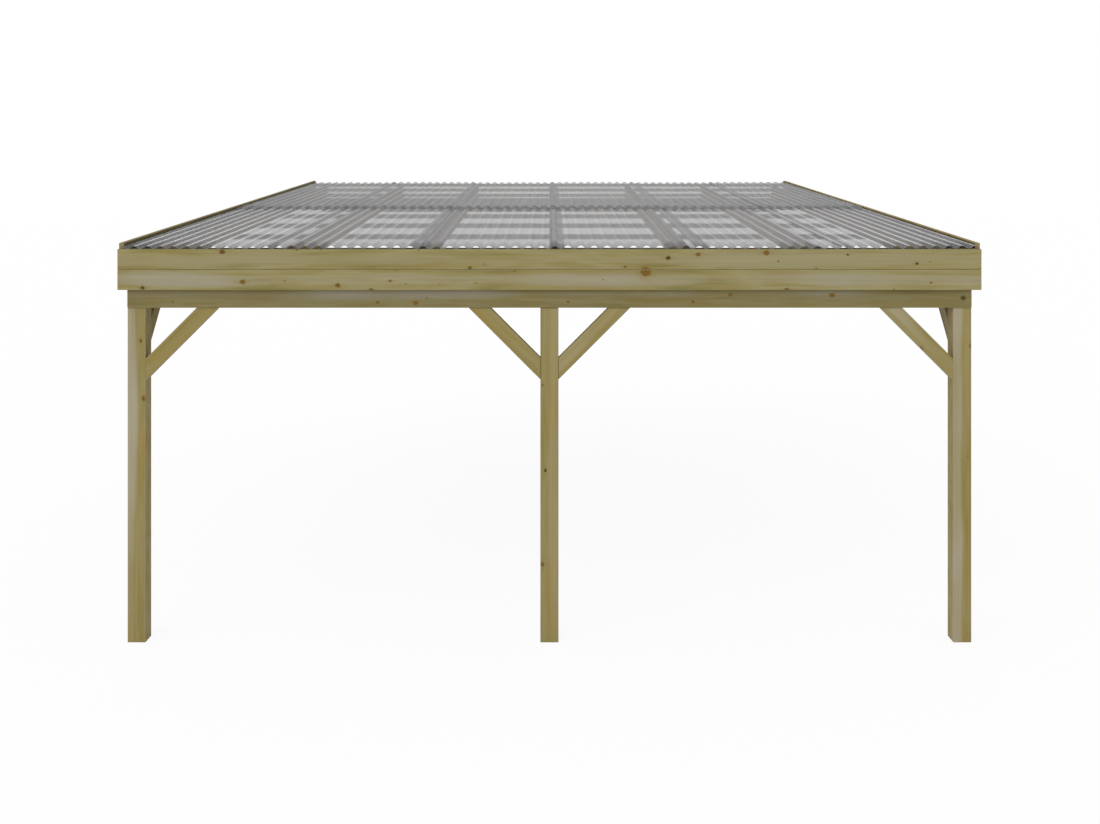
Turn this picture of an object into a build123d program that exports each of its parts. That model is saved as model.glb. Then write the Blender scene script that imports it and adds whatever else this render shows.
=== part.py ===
from build123d import *
import math
import os

# A lean-to carport: three front posts with knee braces, rafters running back to a
# wall ledger, and two rows of smoky corrugated sheets behind a boarded fascia.
# Millimetres, +Z up, the open front towards -Y and the wall at Y = 0. Heights are
# worked out from the ground; at the end every piece is lowered so that the origin
# is the middle of the wall ledger's back face.

# Plan
depth = 6000.0              # wall to the front face of the front fascia
frame_width = 4900.0        # over the outer faces of the corner posts
fascia_overhang = 47.0      # front fascia past the corner posts, each end
wall_gap = 6.0              # rafters, boards and sheets stop short of the wall
slope = 0.0503              # roof rise for each unit of run

# Front frame
post_side = 105.0
post_height = 1944.0
beam_height = 200.0
beam_proud = 7.5            # beam past the front and back faces of the posts
brace_thickness = 45.0
brace_height = 90.0
corner_leg = 423.0          # corner to the lower edge of a corner brace, along the top
centre_leg = 417.0          # the same for the braces of the centre post
arris = 3.0                 # eased long edges of the posts and the beam

# Roof frame
rafter_width = 50.0
rafter_height = 125.0
seat_cut = 3.0              # least depth of the level notches under a rafter
rafter_bays = 3             # rafter spaces between one post and the next
purlin_width = 45.0
purlin_height = 28.0
second_purlin = 830.0       # front to the back edge of the first regular purlin
last_purlin_inset = 8.0     # wall to the back edge of the last purlin
regular_purlins = 8         # evenly spaced, without the one behind the fascia
ledger_thickness = 45.0
ledger_height = 145.0
ledger_bolt_hole = 13.0

# Boards
board_thickness = 28.0
board_cover = 118.0         # height that one board covers
tongue = 9.0                # tongue height and thickness
tongue_clearance = 0.3
seam_chamfer = 3.0
verge_rise = 32.0           # side boards stand this far above the sheets' seat

# Corrugated sheets
rib_pitch = 76.0
rib_height = 18.0
sheet_thickness = 1.2
sheet_ribs = 12             # ribs in a whole sheet
lap_ribs = 1                # ribs shared with the next sheet
first_rib = -2478.0         # middle of the leftmost rib, cut by the side board
sheet_edge_gap = 4.0        # roof edge to the side boards
lower_length = 3600.0       # front row of sheets, on plan
end_lap = 975.0             # back row of sheets over the front row, on plan
lap_lift = 2.4              # a lapping sheet lies this much higher

clearance = 0.3             # between pieces that bear on each other loosely

per_run = math.hypot(1, slope)
tilt = math.degrees(math.atan(slope))

beam_thickness = post_side + 2 * beam_proud
front = -depth
fascia_back = front + board_thickness
beam_back = fascia_back + beam_thickness
post_front = fascia_back + beam_proud
post_back = post_front + post_side
beam_top = post_height + beam_height
roof_end = -wall_gap

post_pitch = (frame_width - post_side) / 2
post_inner = frame_width / 2 - post_side
fascia_half = frame_width / 2 + fascia_overhang
verge_inner = fascia_half - board_thickness
rafter_pitch = post_pitch / rafter_bays
side_names = {-1: "left", 1: "right"}


def rafter_bottom(y):
    return beam_top - seat_cut + slope * (y - beam_back)


def rafter_top(y):
    return rafter_bottom(y) + rafter_height * per_run


def sheet_seat(y):
    return rafter_top(y) + purlin_height * per_run


fascia_top = sheet_seat(front) - clearance
ledger_top = rafter_bottom(roof_end) + seat_cut
ledger_middle = ledger_top - ledger_height / 2

# The roof's own frame: X across, Y up the slope from the front, Z square to it,
# with its origin on the sheets' seat above the front face of the fascia.
roof = Plane(origin=(0, front, sheet_seat(front)), x_dir=(1, 0, 0), z_dir=(0, -slope, 1))


def eased_timber(width, thickness, length):
    """A square-sawn timber along Z, with its long edges eased."""
    timber = Box(width, thickness, length)
    return chamfer(timber.edges().filter_by(Axis.Z), arris)


def post(x):
    middle = (post_front + post_back) / 2
    return Pos(x, middle, post_height / 2) * eased_timber(post_side, post_side, post_height)


def front_beam():
    beam = Rot(Y=90) * eased_timber(beam_height, beam_thickness, frame_width)
    return Pos(0, (fascia_back + beam_back) / 2, (post_height + beam_top) / 2) * beam


def brace_outline(leg, top_slope):
    """A knee brace at 45 degrees in a corner at the origin, under a line that
    rises by top_slope. X runs out of the corner and Y up."""
    along = brace_height * math.sqrt(2)
    inner_leg = leg - along / (1 - top_slope)
    lower_foot = -leg * (1 - top_slope)
    outline = Polyline(
        (0, lower_foot), (leg, top_slope * leg),
        (inner_leg, top_slope * inner_leg), (0, lower_foot + along), close=True)
    return make_face(outline)


def front_brace(x, towards, leg):
    """A brace in the plane of the front frame, from a post's face at x."""
    solid = extrude(Rot(X=90) * brace_outline(leg, 0), amount=brace_thickness, dir=(0, 1, 0))
    if towards < 0:
        solid = mirror(solid, about=Plane.YZ)
    return Pos(x, post_front, post_height) * solid


def side_brace(side):
    """A brace from a corner post's back face up to the side rafter."""
    outline = Plane(origin=(0, 0, 0), x_dir=(0, 1, 0), z_dir=(1, 0, 0)) * brace_outline(corner_leg, slope)
    solid = extrude(outline, amount=brace_thickness, dir=(1, 0, 0))
    inner = post_inner if side > 0 else -post_inner - brace_thickness
    return Pos(inner, post_back, rafter_bottom(post_back)) * solid


def rafter(left):
    """A rafter with its left face at x = left, notched over the beam and the ledger."""
    ledger_front = -ledger_thickness
    outline = Polyline(
        (fascia_back, beam_top), (beam_back, beam_top), (beam_back, rafter_bottom(beam_back)),
        (ledger_front, rafter_bottom(ledger_front)), (ledger_front, ledger_top),
        (roof_end, ledger_top), (roof_end, rafter_top(roof_end)),
        (fascia_back, rafter_top(fascia_back)), close=True)
    face = Plane(origin=(left, 0, 0), x_dir=(0, 1, 0), z_dir=(1, 0, 0)) * make_face(outline)
    return extrude(face, amount=rafter_width, dir=(1, 0, 0))


def rafter_lefts():
    inner = [rafter_pitch * n for n in range(1 - rafter_bays, rafter_bays)]
    return [-post_inner - rafter_width] + inner + [post_inner]


def purlin(back_edge):
    """A batten across the rafters whose top back edge is at this distance on plan."""
    batten = Box(2 * verge_inner, purlin_width, purlin_height)
    return roof * Pos(0, back_edge * per_run - purlin_width / 2, -purlin_height / 2) * batten


def purlin_edges():
    eaves = board_thickness + clearance + purlin_width / per_run
    pitch = (depth - last_purlin_inset - second_purlin) / (regular_purlins - 1)
    return [eaves] + [second_purlin + pitch * n for n in range(regular_purlins)]


def wall_ledger():
    ledger = Box(2 * post_inner + 2 * rafter_width, ledger_thickness, ledger_height)
    for place in ledger_bolts():
        ledger -= Pos(place, 0, 0) * Rot(X=90) * Cylinder(ledger_bolt_hole / 2, ledger_thickness)
    return Pos(0, -ledger_thickness / 2, ledger_middle) * ledger


def ledger_bolts():
    """Wall bolts, one midway between each rafter's set-out line and the next."""
    return [rafter_pitch * (n + 0.5) for n in range(-rafter_bays, rafter_bays)]


def board_section(lower):
    """A board's section, outer face at X = 0 and the back towards +X, bottom edge at
    Y = 0. The lower board has the tongue on top and the upper one the groove."""
    board = Rectangle(board_thickness, board_cover, align=(Align.MIN, Align.MIN))
    middle = board_thickness / 2
    seam = board_cover if lower else 0
    board = chamfer(board.vertices().filter_by(lambda v: abs(v.X) < 0.01 and abs(v.Y - seam) < 0.01),
                    seam_chamfer)
    if lower:
        return board + Pos(middle, seam + tongue / 2) * Rectangle(tongue, tongue)
    groove = Rectangle(tongue + 2 * tongue_clearance, tongue + tongue_clearance,
                       align=(Align.CENTER, Align.MIN))
    return board - Pos(middle, 0) * groove


def front_board(lower):
    bottom = fascia_top - (2 if lower else 1) * board_cover
    place = Plane(origin=(-fascia_half, front, bottom), x_dir=(0, 1, 0), z_dir=(1, 0, 0))
    return extrude(place * board_section(lower), amount=2 * fascia_half, dir=(1, 0, 0))


def side_board(side, lower):
    """A board along the roof's edge, nailed to the purlin ends, with plumb ends."""
    top = verge_rise - (2 if lower else 1) * board_cover
    section = Rot(X=90) * board_section(lower)
    if side > 0:
        section = mirror(section, about=Plane.YZ)
    run = depth * per_run + 2 * board_cover
    long_board = extrude(Pos(side * fascia_half, -board_cover, top) * section, amount=run, dir=(0, 1, 0))
    between_ends = Pos(0, (fascia_back + roof_end) / 2, sheet_seat(front)) * Box(
        3 * fascia_half, roof_end - fascia_back, depth)
    return (roof * long_board) & between_ends


def sheet_section(ribs):
    """A corrugated section, X across from the first rib's left flank, Y = 0 at the
    underside of the hollows. Each half wave is one arc, tangent to the next."""
    half = rib_pitch / 4
    rise = (rib_height - sheet_thickness) / 2
    radius = (half ** 2 + rise ** 2) / (2 * rise)
    flank = math.asin(half / radius)
    middle = rib_height / 2
    across = sheet_thickness / 2 * math.sin(flank)
    up = sheet_thickness / 2 * math.cos(flank)
    waves = 2 * ribs

    def flank_point(n, side):
        lean = -1 if n % 2 == 0 else 1
        return (2 * half * n + side * lean * across, middle + side * up)

    def arc(n, side):
        crest = 1 if n % 2 == 0 else -1
        top = (2 * half * n + half, middle + crest * rise + side * sheet_thickness / 2)
        return ThreePointArc(flank_point(n, side), top, flank_point(n + 1, side))

    upper = [arc(n, 1) for n in range(waves)]
    under = [arc(n, -1) for n in range(waves)]
    ends = [Line(flank_point(0, -1), flank_point(0, 1)),
            Line(flank_point(waves, 1), flank_point(waves, -1))]
    return make_face(Curve() + upper + under + ends)


def roof_sheet(first, ribs, start, end, front_lift, back_lift):
    """Ribs first to first + ribs, between two distances on plan. The lifts raise its
    ends off the seat, where it lies on other sheets."""
    length = (end - start) * per_run
    left = first_rib - rib_pitch / 4 + first * rib_pitch
    sheet = Rot(X=90) * extrude(sheet_section(ribs), amount=length)
    sheet = Pos(left, length, 0) * sheet
    edge = verge_inner - sheet_edge_gap
    sheet &= Box(2 * edge, 3 * length, 4 * rib_height)
    pitch_change = math.degrees(math.atan((back_lift - front_lift) / length))
    return roof * Pos(0, start * per_run, front_lift) * Rot(X=pitch_change) * sheet


def sheet_columns():
    """First rib and number of ribs of each sheet in a row, from the left."""
    total = math.ceil((verge_inner - first_rib) / rib_pitch)
    step = sheet_ribs - lap_ribs
    starts = range(0, total - lap_ribs, step)
    return [(first, min(sheet_ribs, total - first)) for first in starts]


def save(name, solid):
    export_step(Pos(0, 0, -ledger_middle) * solid, f"parts/{name}.step")


def save_front_frame():
    for name, x in (("left", -post_pitch), ("centre", 0), ("right", post_pitch)):
        save(f"post_{name}", post(x))
    save("front_beam", front_beam())
    save("brace_front_left", front_brace(-post_inner, 1, corner_leg))
    save("brace_front_right", front_brace(post_inner, -1, corner_leg))
    save("brace_centre_left", front_brace(-post_side / 2, -1, centre_leg))
    save("brace_centre_right", front_brace(post_side / 2, 1, centre_leg))
    for side, name in side_names.items():
        save(f"brace_side_{name}", side_brace(side))


def save_roof_frame():
    for number, left in enumerate(rafter_lefts(), 1):
        save(f"rafter_{number}", rafter(left))
    for number, back_edge in enumerate(purlin_edges(), 1):
        save(f"purlin_{number}", purlin(back_edge))
    save("wall_ledger", wall_ledger())


def save_boards():
    for lower, level in ((False, "upper"), (True, "lower")):
        save(f"fascia_front_{level}", front_board(lower))
        for side, name in side_names.items():
            save(f"fascia_{name}_{level}", side_board(side, lower))


def save_sheets():
    roof_depth = depth - wall_gap
    lap_lifts = 2 * lap_lift
    lap_slope = lap_lifts / (roof_depth - lower_length)
    upper_start = lower_length - end_lap
    upper_front = lap_lifts + lap_slope * end_lap
    for number, (first, ribs) in enumerate(sheet_columns(), 1):
        over = lap_lift if number % 2 == 0 else 0
        low = clearance + over
        save(f"sheet_lower_{number}", roof_sheet(first, ribs, 0, lower_length, low, low))
        save(f"sheet_upper_{number}",
             roof_sheet(first, ribs, upper_start, roof_depth, low + upper_front, low))


os.makedirs("parts", exist_ok=True)
save_front_frame()
save_roof_frame()
save_boards()
save_sheets()
print(f"ground is {ledger_middle:.1f} mm below the origin")
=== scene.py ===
import math

import bmesh
import bpy
from mathutils import Matrix, Vector


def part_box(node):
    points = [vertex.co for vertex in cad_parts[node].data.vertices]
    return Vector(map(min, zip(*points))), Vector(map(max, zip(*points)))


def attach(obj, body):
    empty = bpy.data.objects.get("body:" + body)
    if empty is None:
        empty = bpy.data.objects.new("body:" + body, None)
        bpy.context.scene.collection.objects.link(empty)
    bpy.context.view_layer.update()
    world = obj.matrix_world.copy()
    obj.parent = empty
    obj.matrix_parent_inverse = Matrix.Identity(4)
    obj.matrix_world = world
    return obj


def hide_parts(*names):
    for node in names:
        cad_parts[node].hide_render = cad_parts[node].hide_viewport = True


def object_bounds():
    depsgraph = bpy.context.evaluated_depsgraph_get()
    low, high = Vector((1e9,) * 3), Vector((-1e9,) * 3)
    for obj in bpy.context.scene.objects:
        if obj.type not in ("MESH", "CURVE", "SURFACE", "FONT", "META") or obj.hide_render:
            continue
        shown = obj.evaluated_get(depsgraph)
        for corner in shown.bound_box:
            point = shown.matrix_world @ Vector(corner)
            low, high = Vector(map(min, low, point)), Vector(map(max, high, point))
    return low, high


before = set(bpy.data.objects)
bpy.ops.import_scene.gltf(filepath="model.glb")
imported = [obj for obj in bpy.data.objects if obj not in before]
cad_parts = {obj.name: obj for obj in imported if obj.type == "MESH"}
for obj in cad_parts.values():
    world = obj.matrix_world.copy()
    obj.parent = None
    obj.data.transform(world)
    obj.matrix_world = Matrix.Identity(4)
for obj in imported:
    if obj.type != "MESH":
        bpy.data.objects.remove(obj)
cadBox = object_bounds()

# what several pieces share
roofPitch = {"slope": 0.0503}                       # rise for each metre of run
roofPitch["angle"] = math.atan(roofPitch["slope"])
roofPitch["perRun"] = math.hypot(1, roofPitch["slope"])
groundLevel = cadBox[0].z

cameraSetup = {
    "standOff": 7.230,      # in front of the fascia
    "height": 2.7553,       # above the ground
    "lens": 40.95,
    "sensor": 36,
    "riseShift": -0.2218,
    "sideShift": 0.0005,
}


def placeCamera():
    data = bpy.data.cameras.new("frontCamera")
    data.lens = cameraSetup["lens"]
    data.sensor_width = cameraSetup["sensor"]
    data.shift_x = cameraSetup["sideShift"]
    data.shift_y = cameraSetup["riseShift"]
    camera = bpy.data.objects.new("frontCamera", data)
    bpy.context.scene.collection.objects.link(camera)
    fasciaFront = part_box("fascia_front_upper")[0].y
    camera.location = (0, fasciaFront - cameraSetup["standOff"], groundLevel + cameraSetup["height"])
    camera.rotation_euler = (math.radians(90), 0, 0)
    bpy.context.scene.camera = camera


placeCamera()
print("camera placed")


# small helpers for the shaders; owner is a material or the world
def newMaterial(name):
    mat = bpy.data.materials.new(name)
    mat.use_nodes = True
    mat.node_tree.nodes.clear()
    out = addNode(mat, "ShaderNodeOutputMaterial")
    shader = addNode(mat, "ShaderNodeBsdfPrincipled")
    wire(mat, shader.outputs["BSDF"], out.inputs["Surface"])
    return mat, shader


def addNode(owner, kind, **settings):
    node = owner.node_tree.nodes.new(kind)
    for key, value in settings.items():
        setattr(node, key, value)
    return node


def wire(owner, source, target):
    owner.node_tree.links.new(source, target)


def feed(owner, value, socket):
    # another node's output is wired, anything else is set
    if isinstance(value, bpy.types.NodeSocket):
        wire(owner, value, socket)
    elif isinstance(value, tuple) and socket.type == "RGBA":
        socket.default_value = (*value, 1)
    else:
        socket.default_value = value


def maths(owner, operation, *inputs):
    node = addNode(owner, "ShaderNodeMath", operation=operation)
    for socket, value in zip(node.inputs, inputs):
        feed(owner, value, socket)
    return node.outputs[0]


def vectorMaths(mat, operation, *inputs):
    node = addNode(mat, "ShaderNodeVectorMath", operation=operation)
    for socket, value in zip(node.inputs, inputs):
        feed(mat, value, socket)
    return node.outputs["Value" if operation == "LENGTH" else "Vector"]


def scaled(mat, vector, scale):
    return vectorMaths(mat, "MULTIPLY", vector, scale)


def combined(mat, *inputs):
    node = addNode(mat, "ShaderNodeCombineXYZ")
    for socket, value in zip(node.inputs, inputs):
        feed(mat, value, socket)
    return node.outputs[0]


def separated(mat, vector):
    node = addNode(mat, "ShaderNodeSeparateXYZ")
    wire(mat, vector, node.inputs[0])
    return node.outputs


def ramp(mat, value, stops, interpolation="LINEAR"):
    node = addNode(mat, "ShaderNodeValToRGB")
    band = node.color_ramp
    band.interpolation = interpolation
    while len(band.elements) < len(stops):
        band.elements.new(0.5)
    for element, (place, colour) in zip(band.elements, stops):
        element.position = place
        shade = colour if isinstance(colour, tuple) else (colour,) * 3
        element.color = (*shade, 1)
    wire(mat, value, node.inputs[0])
    return node.outputs[0]


def mixColour(mat, share, first, second, blend="MIX"):
    node = addNode(mat, "ShaderNodeMix", data_type="RGBA", blend_type=blend)
    for number, value in ((0, share), (6, first), (7, second)):
        feed(mat, value, node.inputs[number])
    return node.outputs[2]


def noise(mat, vector, scale, detail=3.0, roughness=0.5, distortion=0.0):
    node = addNode(mat, "ShaderNodeTexNoise")
    wire(mat, vector, node.inputs["Vector"])
    node.inputs["Scale"].default_value = scale
    node.inputs["Detail"].default_value = detail
    node.inputs["Roughness"].default_value = roughness
    node.inputs["Distortion"].default_value = distortion
    return node.outputs["Fac"]


def growthRings(mat, vector, scale, distortion, detail, detailScale=1.0):
    node = addNode(mat, "ShaderNodeTexWave", wave_type="RINGS", rings_direction="X")
    wire(mat, vector, node.inputs["Vector"])
    node.inputs["Scale"].default_value = scale
    node.inputs["Distortion"].default_value = distortion
    node.inputs["Detail"].default_value = detail
    node.inputs["Detail Scale"].default_value = detailScale
    return node.outputs["Fac"]


def addRelief(mat, shader, height, strength, distance=0.001):
    bump = addNode(mat, "ShaderNodeBump")
    bump.inputs["Strength"].default_value = strength
    bump.inputs["Distance"].default_value = distance
    wire(mat, height, bump.inputs["Height"])
    wire(mat, bump.outputs[0], shader.inputs["Normal"])


def linear(r, g, b):
    # from the 0 to 255 of a colour chart
    return tuple((c / 255 / 12.92) if c < 11 else ((c / 255 + 0.055) / 1.055) ** 2.4 for c in (r, g, b))


# every piece lies elsewhere in the patterns, by up to this much along, across and through it
patternShift = (61.0, 17.0, 29.0)

# how many to a metre, their sizes in metres, and the usual share left out
knot = {"perMetre": 5.4, "smallest": 0.004, "largest": 0.014, "leftOut": 0.22}

# how far it reaches from the pith, in metres: at the least, and what the noise can add
heartwood = {"least": -0.012, "added": 0.11}


def scatterKnots(mat, place, leftOut):
    # spots on a flat map of length and girth, so each face gets its own round ones
    x, y, z = separated(mat, place)
    flat = combined(mat, x, maths(mat, "ADD", y, z), 0.0)
    cells = addNode(mat, "ShaderNodeTexVoronoi", feature="F1", voronoi_dimensions="2D")
    wire(mat, flat, cells.inputs["Vector"])
    cells.inputs["Scale"].default_value = knot["perMetre"]
    pick = addNode(mat, "ShaderNodeSeparateColor")
    wire(mat, cells.outputs["Color"], pick.inputs[0])
    away = vectorMaths(mat, "SUBTRACT", flat, cells.outputs["Position"])
    size = maths(mat, "MULTIPLY_ADD", maths(mat, "POWER", pick.outputs[0], 1.8),
                 knot["largest"], knot["smallest"])
    there = maths(mat, "GREATER_THAN", pick.outputs[1], leftOut)
    ragged = maths(mat, "MULTIPLY_ADD", noise(mat, place, 120, 2), 1.2, 0.4)

    def reach(along):
        return vectorMaths(mat, "LENGTH", scaled(mat, away, (along, 1, 0)))

    spot = maths(mat, "DIVIDE", maths(mat, "MULTIPLY", reach(0.8), ragged), size)
    inKnot = ramp(mat, spot, [(0.0, 1.0), (0.62, 1.0), (1.0, 0.0)])
    halo = ramp(mat, maths(mat, "DIVIDE", reach(0.22), size), [(0.0, 1.0), (0.5, 0.6), (1.0, 0.0)], "EASE")
    return {
        "spot": spot,                                    # 0 in the middle, 1 at the rim
        "inside": maths(mat, "MULTIPLY", inKnot, there),
        "halo": maths(mat, "MULTIPLY", halo, there),
        "kind": pick.outputs[2],
        "ragged": ragged,
    }


def sapwoodPatches(mat, place, sap):
    # sapwood that took the green unevenly
    olive, tan, amber, pale = sap
    patches = noise(mat, scaled(mat, place, (1.3, 13, 13)), 1.0, 2.5, 0.55, 0.3)
    stops = [(0.30, olive), (0.42, tan), (0.52, pale), (0.62, tan), (0.74, olive)]
    colour = ramp(mat, patches, stops, "EASE")
    warm = noise(mat, scaled(mat, place, (1.7, 9, 9)), 1.0, 1.5, 0.5, 0.2)
    colour = mixColour(mat, ramp(mat, warm, [(0.54, 0.0), (0.70, 0.7)], "EASE"), colour, amber)
    return colour, patches


def addHeartwood(mat, colour, coords, place, pith, heart):
    # greyer wood round the pith, wandering along the length
    offPith = vectorMaths(mat, "SUBTRACT", coords, (0, *pith))
    span = vectorMaths(mat, "LENGTH", scaled(mat, offPith, (0, 1, 1)))
    wander = noise(mat, scaled(mat, place, (0.8, 3, 3)), 1.0, 2.5, 0.55)
    reach = maths(mat, "MULTIPLY_ADD", wander, heartwood["added"], heartwood["least"])
    inHeart = ramp(mat, maths(mat, "DIVIDE", span, reach), [(0.45, 1.0), (1.15, 0.0)], "EASE")
    strength = ramp(mat, wander, [(0.38, 0.2), (0.6, 1.0)])
    return mixColour(mat, maths(mat, "MULTIPLY", inHeart, strength), colour, heart)


def addGrain(mat, colour, place, halo):
    # growth rings that bend round the knots, streaks and fine fibres
    bend = maths(mat, "MULTIPLY", halo, 0.008)
    ringPlace = vectorMaths(mat, "ADD", scaled(mat, place, (0.05, 1, 1)), combined(mat, 0.0, bend, bend))
    rings = growthRings(mat, ringPlace, 38, 4.0, 2.5, 0.5)
    ringShade = ramp(mat, rings, [(0.0, 0.93), (0.4, 1.0), (1.0, 1.03)])
    colour = mixColour(mat, 0.6, colour, ringShade, "MULTIPLY")
    streaks = noise(mat, scaled(mat, place, (1.1, 50, 50)), 1.0, 2.5, 0.55)
    colour = mixColour(mat, 0.7, colour, ramp(mat, streaks, [(0.3, 0.92), (0.7, 1.06)]), "MULTIPLY")
    fibre = noise(mat, scaled(mat, place, (3, 280, 280)), 1.0, 2.0, 0.6)
    colour = mixColour(mat, 0.5, colour, ramp(mat, fibre, [(0.25, 0.90), (0.75, 1.08)]), "MULTIPLY")
    return colour, maths(mat, "ADD", maths(mat, "MULTIPLY", rings, 0.5), fibre)


def addKnots(mat, colour, knots):
    colour = mixColour(mat, maths(mat, "MULTIPLY", knots["halo"], 0.35), colour, linear(124, 106, 58))
    darkStops = [(0.0, linear(54, 44, 20)), (0.4, linear(84, 66, 28)), (0.9, linear(104, 90, 48))]
    redStops = [(0.0, linear(86, 62, 18)), (0.35, linear(124, 90, 32)),
                (0.62, linear(112, 84, 32)), (0.85, linear(92, 76, 34))]
    dark = ramp(mat, knots["spot"], darkStops)
    red = ramp(mat, knots["spot"], redStops)
    knotColour = mixColour(mat, ramp(mat, knots["kind"], [(0.35, 0.0), (0.5, 1.0)]), dark, red)
    return mixColour(mat, knots["inside"], colour, knotColour)


def addBigKnot(mat, colour, coords, ragged, bigKnot):
    # one knot at a place of its own, on the face across y
    off = vectorMaths(mat, "SUBTRACT", coords, (bigKnot["x"], 0, bigKnot["z"]))
    span = vectorMaths(mat, "LENGTH", scaled(mat, off, (0.85, 0, 1)))
    spot = maths(mat, "DIVIDE", maths(mat, "MULTIPLY", span, ragged), bigKnot["size"])
    stain = ramp(mat, maths(mat, "MULTIPLY", spot, 0.4), [(0.2, 0.55), (0.9, 0.0)], "EASE")
    colour = mixColour(mat, stain, colour, linear(132, 108, 58))
    innerStops = [(0.0, linear(92, 62, 8)), (0.35, linear(124, 90, 26)), (0.8, linear(100, 76, 22))]
    return mixColour(mat, ramp(mat, spot, [(0.7, 1.0), (1.1, 0.0)]), colour, ramp(mat, spot, innerStops))


def addWearAndPaintedLight(mat, colour, place, edge):
    # worn arrises and painted light on some faces, and painted shade on tops, seams and inner faces
    wornAndLit = addNode(mat, "ShaderNodeAttribute", attribute_name="arris").outputs["Fac"]
    paintedShade = addNode(mat, "ShaderNodeAttribute", attribute_name="paintedShade").outputs["Fac"]
    patchy = noise(mat, scaled(mat, place, (9, 30, 30)), 1.0, 3.0)
    wearAndLight = maths(mat, "MULTIPLY", wornAndLit, ramp(mat, patchy, [(0.35, 0.1), (0.65, 0.7)]))
    colour = mixColour(mat, wearAndLight, colour, edge)
    paintedShadeShare = maths(mat, "MULTIPLY", paintedShade, ramp(mat, patchy, [(0.3, 0.70), (0.7, 0.95)]))
    # the dark colour mixed in here is painted shade
    return mixColour(mat, paintedShadeShare, colour, linear(58, 50, 30))


def greenedPine(name, sap, heart, pith, edge, leftOut=knot["leftOut"], bigKnot=None):
    # sap and heart are the two woods' colours, pith is where the log's middle lies across
    # the piece, edge is the colour of a worn arris and of painted light, leftOut the share of knots left
    # out
    mat, shader = newMaterial(name)
    coords = addNode(mat, "ShaderNodeTexCoord").outputs["Object"]
    chance = addNode(mat, "ShaderNodeObjectInfo").outputs["Random"]
    shift = combined(mat, *(maths(mat, "MULTIPLY", chance, far) for far in patternShift))
    place = vectorMaths(mat, "ADD", coords, shift)

    knots = scatterKnots(mat, place, leftOut)
    colour, patches = sapwoodPatches(mat, place, sap)
    colour = addHeartwood(mat, colour, coords, place, pith, heart)
    colour, relief = addGrain(mat, colour, place, knots["halo"])
    colour = addKnots(mat, colour, knots)
    if bigKnot:
        colour = addBigKnot(mat, colour, coords, knots["ragged"], bigKnot)
    colour = addWearAndPaintedLight(mat, colour, place, edge)

    wire(mat, colour, shader.inputs["Base Color"])
    wire(mat, ramp(mat, patches, [(0.3, 0.66), (0.7, 0.80)]), shader.inputs["Roughness"])
    shader.inputs["Specular IOR Level"].default_value = 0.16
    addRelief(mat, shader, relief, 0.3)
    return mat


def sawnEnd(name, pale, dark):
    mat, shader = newMaterial(name)
    coords = addNode(mat, "ShaderNodeTexCoord").outputs["Object"]
    rings = growthRings(mat, scaled(mat, coords, (0, 1, 1)), 70, 2.0, 3)
    grain = noise(mat, coords, 420, 3)
    colour = ramp(mat, rings, [(0.1, dark), (0.8, pale)])
    colour = mixColour(mat, 0.5, colour, ramp(mat, grain, [(0.3, 0.8), (0.7, 1.1)]), "MULTIPLY")
    wire(mat, colour, shader.inputs["Base Color"])
    shader.inputs["Roughness"].default_value = 0.85
    addRelief(mat, shader, grain, 0.5)
    return mat


# how squarely a face looks a way: straight at it, or at a slant
facing = {"square": 0.9, "slanting": 0.5}

# how a sharp edge of timber is rounded over
rounding = {"sharperThan": math.radians(20), "segments": 3, "profile": 0.6}

upward = Vector((0, 0, 1))
across = Vector((1, 0, 0))
inward = Vector((0, 1, 0))
upSlope = Vector((0, math.cos(roofPitch["angle"]), math.sin(roofPitch["angle"])))
roofNormal = Vector((0, -math.sin(roofPitch["angle"]), math.cos(roofPitch["angle"])))


def addPiece(name, mesh, materials):
    data = bpy.data.meshes.new(name)
    mesh.to_mesh(data)
    mesh.free()
    for mat in materials:
        data.materials.append(mat)
    piece = bpy.data.objects.new(name, data)
    bpy.context.scene.collection.objects.link(piece)
    return piece


def seat(piece, node):
    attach(piece, "root")
    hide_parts(node)


def skin(mesh, firstRing, lastRing):
    # two matching outlines, joined side by side and capped
    near = [mesh.verts.new(p) for p in firstRing]
    far = [mesh.verts.new(p) for p in lastRing]
    mesh.faces.new(near)
    mesh.faces.new(list(reversed(far)))
    for n in range(len(near)):
        mesh.faces.new((near[n - 1], near[n], far[n], far[n - 1]))
    bmesh.ops.recalc_face_normals(mesh, faces=mesh.faces)
    mesh.normal_update()


def endOrSide(face):
    # sawn ends take the second material
    return 1 if abs(face.normal.x) > facing["square"] else 0


def prism(name, firstRing, lastRing, grain, arris, materials, paintShade=None, paintLight=None):
    # a stick of timber with every sharp outer edge rounded over; its own X runs along the
    # grain, and the last two arguments say how much painted shade and painted light a face has by its
    # outward way
    centre, along, up = grain
    along, up = along.normalized(), up.normalized()
    turn = Matrix((along, up.cross(along), up)).transposed().to_4x4()
    place = Matrix.Translation(centre) @ turn
    toPiece = place.inverted()
    mesh = bmesh.new()
    skin(mesh, [toPiece @ Vector(p) for p in firstRing], [toPiece @ Vector(p) for p in lastRing])
    wearAndLight = mesh.faces.layers.float.new("arris")
    paintedShade = mesh.faces.layers.float.new("paintedShade")
    for face in mesh.faces:
        way = turn.to_3x3() @ face.normal
        face[wearAndLight] = paintLight(way) if paintLight else 0.0
        face[paintedShade] = paintShade(way) if paintShade else 0.0
        face.material_index = endOrSide(face)
    edges = [e for e in mesh.edges if e.is_convex and e.calc_face_angle(0) > rounding["sharperThan"]]
    rounded = bmesh.ops.bevel(mesh, geom=edges, offset=arris, segments=rounding["segments"],
                              profile=rounding["profile"], affect="EDGES", clamp_overlap=True)
    for face in rounded["faces"]:
        face[wearAndLight] = 1.0
        face[paintedShade] = 0.0
        face.smooth = True
        face.material_index = endOrSide(face)
    piece = addPiece(name, mesh, materials)
    piece.matrix_world = place
    return piece


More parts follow.
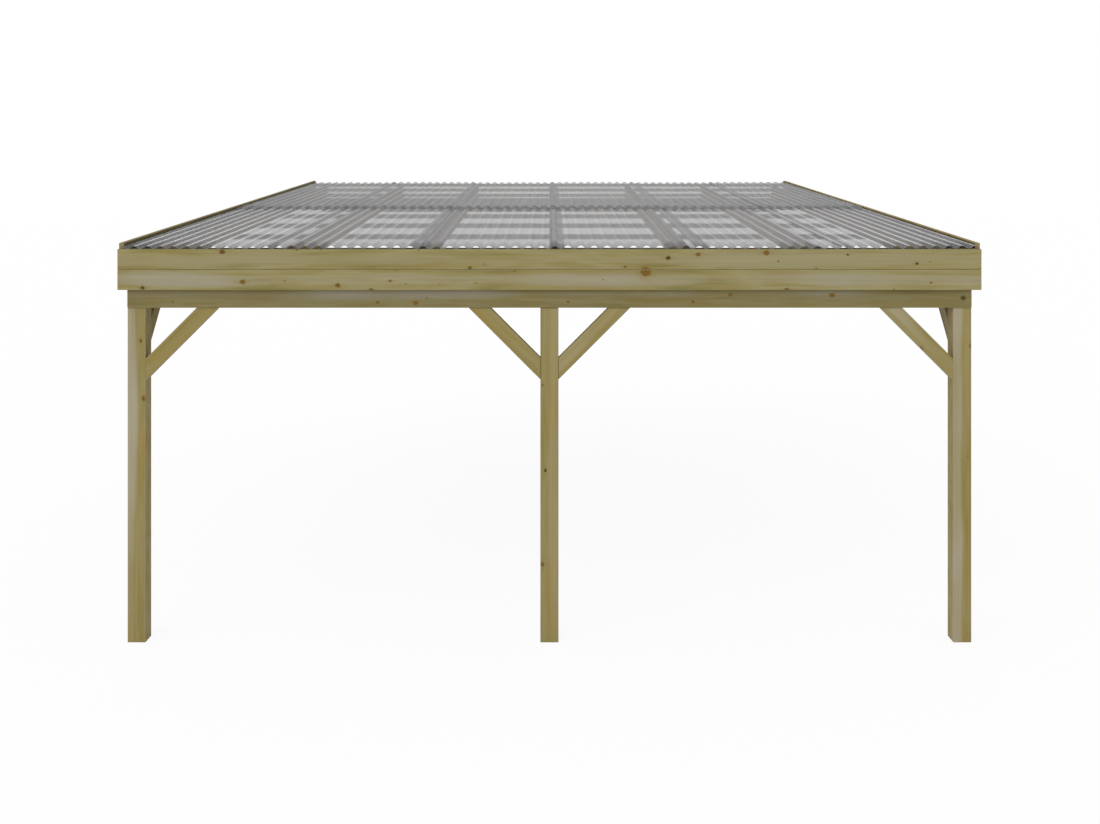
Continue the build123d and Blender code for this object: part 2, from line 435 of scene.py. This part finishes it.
def squareSection(centre, one, other, width, height):
    corners = ((-1, -1), (1, -1), (1, 1), (-1, 1))
    return [centre + one * (a * width / 2) + other * (b * height / 2) for a, b in corners]


endPine = sawnEnd("endPine", linear(150, 138, 100), linear(124, 110, 72))

post = {
    "arris": 0.004,
    "innerPaintedLight": 1.25,         # painted light on the corner posts' inner sides
}

# the sapwood's four tones: olive, tan, amber, pale
postSap = (linear(131, 119, 66), linear(139, 125, 76), linear(146, 124, 64), linear(143, 131, 86))
postPine = greenedPine("postPine", postSap, heart=linear(160, 151, 129), pith=(0.034, 0.055),
                       edge=linear(157, 143, 105), leftOut=0.6)
centrePine = greenedPine("centrePine", postSap, heart=linear(152, 138, 98), pith=(-0.034, 0.06),
                         edge=linear(108, 99, 58), leftOut=0.9)


def makePosts():
    for side, inside, pine in (("left", 1, postPine), ("centre", 0, centrePine), ("right", -1, postPine)):
        low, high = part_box(f"post_{side}")
        middle = (low + high) / 2
        foot = squareSection(Vector((middle.x, middle.y, low.z)), across, inward,
                             high.x - low.x, high.y - low.y)
        head = [p + upward * (high.z - low.z) for p in foot]
        # the corner posts' inner sides take painted light, mixed in like a worn arris
        piece = prism(f"post.{side}", foot, head, (middle, upward, -inward), post["arris"],
                      (pine, endPine),
                      paintLight=lambda way: post["innerPaintedLight"] if way.x * inside > facing["square"] else 0.0)
        seat(piece, f"post_{side}")
    print("posts standing")


beam = {"arris": 0.005}
# darker than the posts' tones: the beam's own tone with painted shade from the fascia above
beamShadedSap = (linear(114, 105, 64), linear(121, 110, 68), linear(122, 106, 62), linear(126, 117, 80))
shadedBeamPine = greenedPine("shadedBeamPine", beamShadedSap, heart=linear(136, 130, 111), pith=(-0.03, -0.02),
                       edge=linear(140, 131, 94), leftOut=0.6)


def makeBeam():
    low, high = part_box("front_beam")
    middle = (low + high) / 2
    end = squareSection(Vector((low.x, middle.y, middle.z)), inward, upward,
                        high.y - low.y, high.z - low.z)
    other = [p + across * (high.x - low.x) for p in end]
    piece = prism("frontBeam", end, other, (middle, across, upward), beam["arris"], (shadedBeamPine, endPine))
    seat(piece, "front_beam")
    print("front beam on")


brace = {
    "height": 0.090,
    "arris": 0.003,
    # painted shade on the braces' tops
    "topPaintedShade": 0.75,
    "underside": 1.0,         # painted light on the outer ones' undersides, seen from below
}
brace["cut"] = brace["height"] * math.sqrt(2)     # what a brace covers of a post or beam
bracePine = greenedPine("bracePine", postSap, heart=linear(158, 149, 121), pith=(0.034, 0.055),
                        edge=linear(158, 144, 118))


def makeFrontBraces():
    cut = brace["cut"]
    for node, opens, pine in (("front_left", 1, bracePine), ("centre_right", 1, centrePine),
                              ("front_right", -1, bracePine), ("centre_left", -1, centrePine)):
        low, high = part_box(f"brace_{node}")
        corner, tip = (low.x, high.x) if opens > 0 else (high.x, low.x)
        outline = [(corner, low.z), (tip, high.z), (tip - opens * cut, high.z), (corner, low.z + cut)]
        front = [Vector((x, low.y, z)) for x, z in outline]
        back = [Vector((x, high.y, z)) for x, z in outline]
        grain = ((low + high) / 2, Vector((opens, 0, 1)), Vector((-opens, 0, 1)))
        # the outer braces' undersides take painted light
        underPaintedLight = brace["underside"] if pine is bracePine else 0.0
        piece = prism(f"brace.{node}", front, back, grain, brace["arris"], (pine, endPine),
                      # painted shade on the braces' tops
                      paintShade=lambda way: brace["topPaintedShade"] if way.z > facing["slanting"] else 0.0,
                      paintLight=lambda way: underPaintedLight if way.z < -facing["slanting"] else 0.0)
        seat(piece, f"brace_{node}")


def makeSideBraces():
    # the head is cut to the rafter's slope
    cut, slope = brace["cut"], roofPitch["slope"]
    for side in ("left", "right"):
        low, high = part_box(f"brace_side_{side}")
        innerLeg = (high.y - low.y) - cut / (1 - slope)
        headInner = high.z - slope * (high.y - low.y - innerLeg)
        outline = [(low.y, low.z), (high.y, high.z),
                   (low.y + innerLeg, headInner), (low.y, low.z + cut)]
        one = [Vector((low.x, y, z)) for y, z in outline]
        other = [Vector((high.x, y, z)) for y, z in outline]
        grain = ((low + high) / 2, Vector((0, 1, 1)), Vector((0, -1, 1)))
        piece = prism(f"brace.side.{side}", one, other, grain, brace["arris"], (postPine, endPine))
        seat(piece, f"brace_side_{side}")
    print("knee braces in")


rafter = {"count": 7, "height": 0.125, "arris": 0.0025}
roofSap = (linear(128, 118, 76), linear(136, 123, 80), linear(138, 120, 74), linear(140, 130, 92))
roofPine = greenedPine("roofPine", roofSap, heart=linear(148, 139, 114), pith=(0.0, 0.0),
                       edge=linear(150, 141, 108))


def makeRafters():
    # level notches sit on the beam and on the ledger
    slope = roofPitch["slope"]
    deep = rafter["height"] * roofPitch["perRun"]
    beamBack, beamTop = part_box("front_beam")[1].y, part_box("front_beam")[1].z
    ledgerFront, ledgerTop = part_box("wall_ledger")[0].y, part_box("wall_ledger")[1].z
    for number in range(1, rafter["count"] + 1):
        low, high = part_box(f"rafter_{number}")

        def top(y):
            return high.z - slope * (high.y - y)

        outline = [(low.y, beamTop), (beamBack, beamTop), (beamBack, top(beamBack) - deep),
                   (ledgerFront, top(ledgerFront) - deep), (ledgerFront, ledgerTop), (high.y, ledgerTop),
                   (high.y, high.z), (low.y, top(low.y))]
        one = [Vector((low.x, y, z)) for y, z in outline]
        other = [Vector((high.x, y, z)) for y, z in outline]
        grain = ((low + high) / 2, upSlope, roofNormal)
        piece = prism(f"rafter.{number}", one, other, grain, rafter["arris"], (roofPine, endPine))
        seat(piece, f"rafter_{number}")
    print("rafters laid")


# the purlins' tops take painted shade, under the sheets
purlin = {"count": 9, "width": 0.045, "height": 0.028, "arris": 0.002, "topPaintedShade": 0.35}


def makePurlins():
    for number in range(1, purlin["count"] + 1):
        low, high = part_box(f"purlin_{number}")
        middle = (low + high) / 2
        end = squareSection(Vector((low.x, middle.y, middle.z)), upSlope, roofNormal,
                            purlin["width"], purlin["height"])
        other = [p + across * (high.x - low.x) for p in end]
        piece = prism(f"purlin.{number}", end, other, (middle, across, roofNormal), purlin["arris"],
                      (roofPine, endPine),
                      # painted shade on the purlins' tops
                      paintShade=lambda way: purlin["topPaintedShade"] if way.z > facing["square"] else 0.0)
        seat(piece, f"purlin_{number}")
    print("purlins nailed down")


def finishLedger():
    # it keeps its own shape, with the bolt holes
    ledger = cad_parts["wall_ledger"]
    for slotted in ledger.material_slots:
        slotted.material = roofPine
    print("ledger finished")


board = {
    "thickness": 0.028,
    "cover": 0.118,
    "tongue": 0.009,
    "slack": 0.0003,
    "seam": 0.003,
    "arris": 0.0015,
    # painted shade in the chamfers where two boards meet
    "seamPaintedShade": 0.8,
    "topPaintedShade": 1.0,          # painted shade on the front boards' tops, under the sheets
    "innerPaintedShade": 0.85,        # painted shade on the side boards' inner faces
    "leftTopPaintedShade": 0.45,       # painted shade on the left boards' tops
    "rightTopPaintedLight": 1.0,         # painted light on the right boards' tops
}

# one big knot sits across the front seam, given on each board from the middle of its cover
seamKnot = {"x": 0.557, "size": 0.029}
upperKnot = {**seamKnot, "z": -0.070}
lowerKnot = {**seamKnot, "z": 0.048}

boardSap = (linear(124, 115, 65), linear(139, 128, 81), linear(137, 120, 68), linear(146, 137, 96))
boardPine = greenedPine("boardPine", boardSap, heart=linear(150, 142, 116), pith=(-0.024, 0.0),
                        edge=linear(150, 122, 64))
upperPine = greenedPine("upperBoardPine", boardSap, heart=linear(147, 138, 104), pith=(-0.026, 0.0),
                        edge=linear(152, 143, 108), bigKnot=upperKnot)
lowerPine = greenedPine("lowerBoardPine", boardSap, heart=linear(152, 144, 119), pith=(-0.024, 0.0),
                        edge=linear(152, 143, 108), bigKnot=lowerKnot)


def boardSection(level):
    # points through the board and up it, from the middle of its cover, with the seen face at
    # -back; the lower board has the tongue and the upper one the groove
    back, top, seam = board["thickness"] / 2, board["cover"] / 2, board["seam"]
    tongue = board["tongue"]
    if level == "lower":
        half = tongue / 2
        return [(-back, -top), (back, -top), (back, top), (half, top), (half, top + tongue),
                (-half, top + tongue), (-half, top), (-back + seam, top), (-back, top - seam)]
    half = tongue / 2 + board["slack"]
    deep = tongue + board["slack"]
    return [(-back, -top + seam), (-back + seam, -top), (-half, -top), (-half, -top + deep),
            (half, -top + deep), (half, -top), (back, -top), (back, top), (-back, top)]


def onSeam(way):
    # the chamfers where two boards meet
    return facing["slanting"] < abs(way.z) < facing["square"]


# painted shade on the seams and on the front boards' tops
def frontPaintedShade(way):
    if onSeam(way):
        return board["seamPaintedShade"]
    return board["topPaintedShade"] if way.z > facing["square"] else 0.0


# painted shade on the seams, on the upper side boards' inner faces and on the left boards' tops
def sidePaintedShade(way, outward, level):
    if onSeam(way):
        return board["seamPaintedShade"]
    if level == "upper" and way.x * outward < -facing["square"]:
        return board["innerPaintedShade"]
    return board["leftTopPaintedShade"] if outward < 0 and way.z > facing["square"] else 0.0


# painted light on the right boards' tops
def sidePaintedLight(way, outward):
    return board["rightTopPaintedLight"] if outward > 0 and way.z > facing["square"] else 0.0


def makeFrontBoards():
    for level, pine in (("upper", upperPine), ("lower", lowerPine)):
        node = f"fascia_front_{level}"
        low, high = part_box(node)
        middle = Vector(((low.x + high.x) / 2, (low.y + high.y) / 2, low.z + board["cover"] / 2))
        one = [Vector((low.x, middle.y + out, middle.z + up)) for out, up in boardSection(level)]
        other = [Vector((high.x, p.y, p.z)) for p in one]
        piece = prism(f"fascia.front.{level}", one, other, (middle, across, upward), board["arris"],
                      (pine, endPine), paintShade=frontPaintedShade)
        seat(piece, node)


def makeSideBoards():
    # they follow the roof's slope, with upright ends
    slope, perRun = roofPitch["slope"], roofPitch["perRun"]
    lean = math.tan(roofPitch["angle"])
    for side, outward in (("left", -1), ("right", 1)):
        for level in ("upper", "lower"):
            node = f"fascia_{side}_{level}"
            low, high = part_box(node)
            run = high.y - low.y
            height = low.z + slope * run / 2 + board["cover"] / 2 * perRun
            middle = Vector(((low.x + high.x) / 2, (low.y + high.y) / 2, height))

            def ring(end):
                return [middle + across * (-outward * out) + roofNormal * up
                        + upSlope * (end * run / 2 * perRun + up * lean)
                        for out, up in boardSection(level)]

            piece = prism(f"fascia.{side}.{level}", ring(-1), ring(1), (middle, upSlope, roofNormal),
                          board["arris"], (boardPine, endPine),
                          paintShade=lambda way: sidePaintedShade(way, outward, level),
                          paintLight=lambda way: sidePaintedLight(way, outward))
            seat(piece, node)
    print("fascia boards nailed on")


makePosts()
makeBeam()
makeFrontBraces()
makeSideBraces()
makeRafters()
makePurlins()
finishLedger()
makeFrontBoards()
makeSideBoards()

sheet = {
    "pitch": 0.076,
    "height": 0.018,
    "thickness": 0.0012,
    "ribMiddle": 0.030,       # a rib's middle stands this far right of the carport's
    "columns": 6,
    "stepsPerRib": 24,
    "rowEvery": 0.30,         # along the slope
    "alpha": 0.535,
    # painted highlights along the rib crests
    "crestHighlight": (0.84, 0.835, 0.84),
    "toVerge": 2.5,           # from the middle line, where the painted crest highlights are full
    # painted light in the lap, under the upper row's front edges
    "lapLight": (0.80, 0.795, 0.80),
    "lapLightReach": 0.10,        # back from the lap's front edge
}


def paintedCrestHighlights(mat, x, y, dust):
    # painted highlights along the rib crests, more so towards the verges and the eaves
    rib = maths(mat, "MULTIPLY_ADD", x, 1 / sheet["pitch"], 0.5 - sheet["ribMiddle"] / sheet["pitch"])
    offCrest = maths(mat, "ABSOLUTE", maths(mat, "SUBTRACT", maths(mat, "FRACT", rib), 0.5))
    sideways = maths(mat, "MULTIPLY", maths(mat, "ABSOLUTE", x), 1 / sheet["toVerge"])
    frontward = maths(mat, "MULTIPLY", y, 1 / cadBox[0].y)
    crestHighlight = ramp(mat, offCrest, [(0.05, 1.0), (0.17, 0.0)], "EASE")
    for share in (ramp(mat, dust, [(0.3, 0.6), (0.7, 1.0)]),
                  ramp(mat, sideways, [(0.35, 0.08), (0.60, 0.5), (0.80, 1.0)]),
                  ramp(mat, frontward, [(0.53, 0.15), (0.60, 0.65), (0.95, 1.0)])):
        crestHighlight = maths(mat, "MULTIPLY", crestHighlight, share)
    return crestHighlight


def lapPaintedLight(mat, y):
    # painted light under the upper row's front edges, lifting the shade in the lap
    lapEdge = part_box("sheet_upper_1")[0].y
    pastEdge = maths(mat, "MULTIPLY_ADD", y, 1 / sheet["lapLightReach"], -lapEdge / sheet["lapLightReach"])
    return ramp(mat, pastEdge, [(0.0, 0.0), (0.03, 1.0), (0.5, 1.0), (1.0, 0.0)])


def smokySheet(name, underLap):
    mat, shader = newMaterial(name)
    coords = addNode(mat, "ShaderNodeTexCoord").outputs["Object"]
    x, y, _ = separated(mat, coords)
    cloud = noise(mat, scaled(mat, coords, (7, 0.5, 7)), 1.0, 3.0)
    tone = ramp(mat, cloud, [(0.3, (0.166, 0.162, 0.170)), (0.7, (0.200, 0.194, 0.200))])
    dust = noise(mat, coords, 55, 4.0, 0.6)
    tone = mixColour(mat, 0.5, tone, ramp(mat, dust, [(0.3, 0.94), (0.7, 1.06)]), "MULTIPLY")
    # painted highlights on the crests
    tone = mixColour(mat, paintedCrestHighlights(mat, x, y, dust), tone, sheet["crestHighlight"])
    if underLap:
        # painted light in the lap
        tone = mixColour(mat, lapPaintedLight(mat, y), tone, sheet["lapLight"])
    wire(mat, tone, shader.inputs["Base Color"])
    shader.inputs["Alpha"].default_value = sheet["alpha"]
    wire(mat, ramp(mat, dust, [(0.3, 0.28), (0.7, 0.36)]), shader.inputs["Roughness"])
    shader.inputs["IOR"].default_value = 1.5
    return mat


def cutEdge(name, dark, pale):
    mat, shader = newMaterial(name)
    coords = addNode(mat, "ShaderNodeTexCoord").outputs["Object"]
    tone = ramp(mat, noise(mat, coords, 60, 2.0), [(0.3, dark), (0.7, pale)])
    wire(mat, tone, shader.inputs["Base Color"])
    shader.inputs["Roughness"].default_value = 0.5
    return mat


def ribPoint(x):
    # height of the mid surface over the flanks' middle, and the way its upper side faces
    quarter = sheet["pitch"] / 4
    rise = (sheet["height"] - sheet["thickness"]) / 2
    radius = (quarter ** 2 + rise ** 2) / (2 * rise)
    half = round((x - sheet["ribMiddle"]) / (2 * quarter))
    off = x - sheet["ribMiddle"] - half * 2 * quarter
    up = math.sqrt(radius ** 2 - off ** 2)
    if half % 2 == 0:
        return up - (radius - rise), (off / radius, up / radius)
    return (radius - rise) - up, (-off / radius, up / radius)


def makeSheet(node, mat, edgeMat):
    # the two rows differ a little in slope, so it is worked out from each sheet's box
    low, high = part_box(node)
    halfThick = sheet["thickness"] / 2
    lean = (high.z - low.z - sheet["height"]) / (high.y - low.y)
    angle = math.atan(lean)
    along = Vector((0, math.cos(angle), math.sin(angle)))
    normal = Vector((0, -math.sin(angle), math.cos(angle)))
    origin = Vector((0, low.y + sheet["height"] * math.sin(angle), low.z))
    length = (high.y - origin.y) / math.cos(angle)
    steps = round((high.x - low.x) / sheet["pitch"] * sheet["stepsPerRib"])
    rows = round(length / sheet["rowEvery"])
    mesh = bmesh.new()

    def cornerGrid(side):
        # side is 1 for the upper skin and -1 for the lower
        grid = []
        for row in range(rows + 1):
            line = []
            for step in range(steps + 1):
                x = low.x + (high.x - low.x) * step / steps
                rise, face = ribPoint(x)
                z = rise + sheet["height"] / 2 + side * halfThick * face[1]
                sideways = x + side * halfThick * face[0]
                p = origin + across * sideways + normal * z + along * (length * row / rows)
                line.append(mesh.verts.new(p))
            grid.append(line)
        return grid

    def quad(a, b, c, d, edge):
        face = mesh.faces.new((a, b, c, d))
        face.smooth = not edge
        face.material_index = 1 if edge else 0

    top, under = cornerGrid(1), cornerGrid(-1)
    for row in range(rows):
        for step in range(steps):
            quad(top[row][step], top[row][step + 1],
                 top[row + 1][step + 1], top[row + 1][step], False)
            quad(under[row][step], under[row + 1][step],
                 under[row + 1][step + 1], under[row][step + 1], False)
        quad(top[row][0], top[row + 1][0], under[row + 1][0], under[row][0], True)
        quad(top[row][steps], under[row][steps], under[row + 1][steps], top[row + 1][steps], True)
    for step in range(steps):
        quad(top[0][step], under[0][step], under[0][step + 1], top[0][step + 1], True)
        quad(top[rows][step], top[rows][step + 1], under[rows][step + 1], under[rows][step], True)
    seat(addPiece(node.replace("_", "."), mesh, (mat, edgeMat)), node)


def makeSheets():
    # the upper row's cut edges are painted paler, a painted light that lifts the shade along the lap
    rows = (
        ("lower", smokySheet("smokySheet", True), cutEdge("eavesCutEdge", 0.12, 0.20)),
        ("upper", smokySheet("upperSmokySheet", False), cutEdge("litLapCutEdge", 0.52, 0.62)),
    )
    for row, mat, edgeMat in rows:
        for column in range(1, sheet["columns"] + 1):
            makeSheet(f"sheet_{row}_{column}", mat, edgeMat)
    print("roof sheets on")


makeSheets()

studio = {
    "floorSize": 60.0,
    "floorTone": (0.97, 0.97, 0.97),
    "floorGlow": 0.91,        # how much of the floor's look is plain white
    "worldStrength": 0.80,
    "keyEnergy": 0.97,
    "keySpread": 50,
    "keyTilt": 56,
    "keyTurn": -38,
}


def backdropRays(owner):
    # 1 for rays that look at the backdrop, straight or by gloss and glass, 0 for its light
    path = addNode(owner, "ShaderNodeLightPath")
    shiny = maths(owner, "MAXIMUM", path.outputs["Is Glossy Ray"], path.outputs["Is Transmission Ray"])
    return maths(owner, "MAXIMUM", path.outputs["Is Camera Ray"], shiny)


def makeFloor():
    size = studio["floorSize"]
    data = bpy.data.meshes.new("studioFloor")
    data.from_pydata([(-size, -size, groundLevel), (size, -size, groundLevel),
                      (size, size, groundLevel), (-size, size, groundLevel)], [], [(0, 1, 2, 3)])
    floor = bpy.data.objects.new("studioFloor", data)
    bpy.context.scene.collection.objects.link(floor)
    mat, shader = newMaterial("paleFloor")
    feed(mat, studio["floorTone"], shader.inputs["Base Color"])
    shader.inputs["Roughness"].default_value = 0.9
    glow = addNode(mat, "ShaderNodeEmission")
    glow.inputs["Strength"].default_value = 1.0
    blend = addNode(mat, "ShaderNodeMixShader")
    wire(mat, maths(mat, "MULTIPLY", backdropRays(mat), studio["floorGlow"]), blend.inputs[0])
    wire(mat, shader.outputs[0], blend.inputs[1])
    wire(mat, glow.outputs[0], blend.inputs[2])
    wire(mat, blend.outputs[0], mat.node_tree.get_output_node("ALL").inputs["Surface"])
    data.materials.append(mat)


def lightStudio():
    world = bpy.data.worlds.new("studioWorld")
    bpy.context.scene.world = world
    world.use_nodes = True
    world.node_tree.nodes.clear()
    out = addNode(world, "ShaderNodeOutputWorld")
    sky = addNode(world, "ShaderNodeBackground")
    sky.inputs["Color"].default_value = (1, 1, 1, 1)
    level = addNode(world, "ShaderNodeMapRange")
    level.inputs["To Min"].default_value = studio["worldStrength"]
    level.inputs["To Max"].default_value = 1.0
    wire(world, backdropRays(world), level.inputs["Value"])
    wire(world, level.outputs["Result"], sky.inputs["Strength"])
    wire(world, sky.outputs[0], out.inputs["Surface"])
    key = bpy.data.lights.new("softKey", "SUN")
    key.energy = studio["keyEnergy"]
    key.angle = math.radians(studio["keySpread"])
    lamp = bpy.data.objects.new("softKey", key)
    lamp.rotation_euler = (math.radians(studio["keyTilt"]), 0, math.radians(studio["keyTurn"]))
    bpy.context.scene.collection.objects.link(lamp)
    bpy.context.scene.view_settings.view_transform = "Standard"


makeFloor()
lightStudio()
print("studio lit")
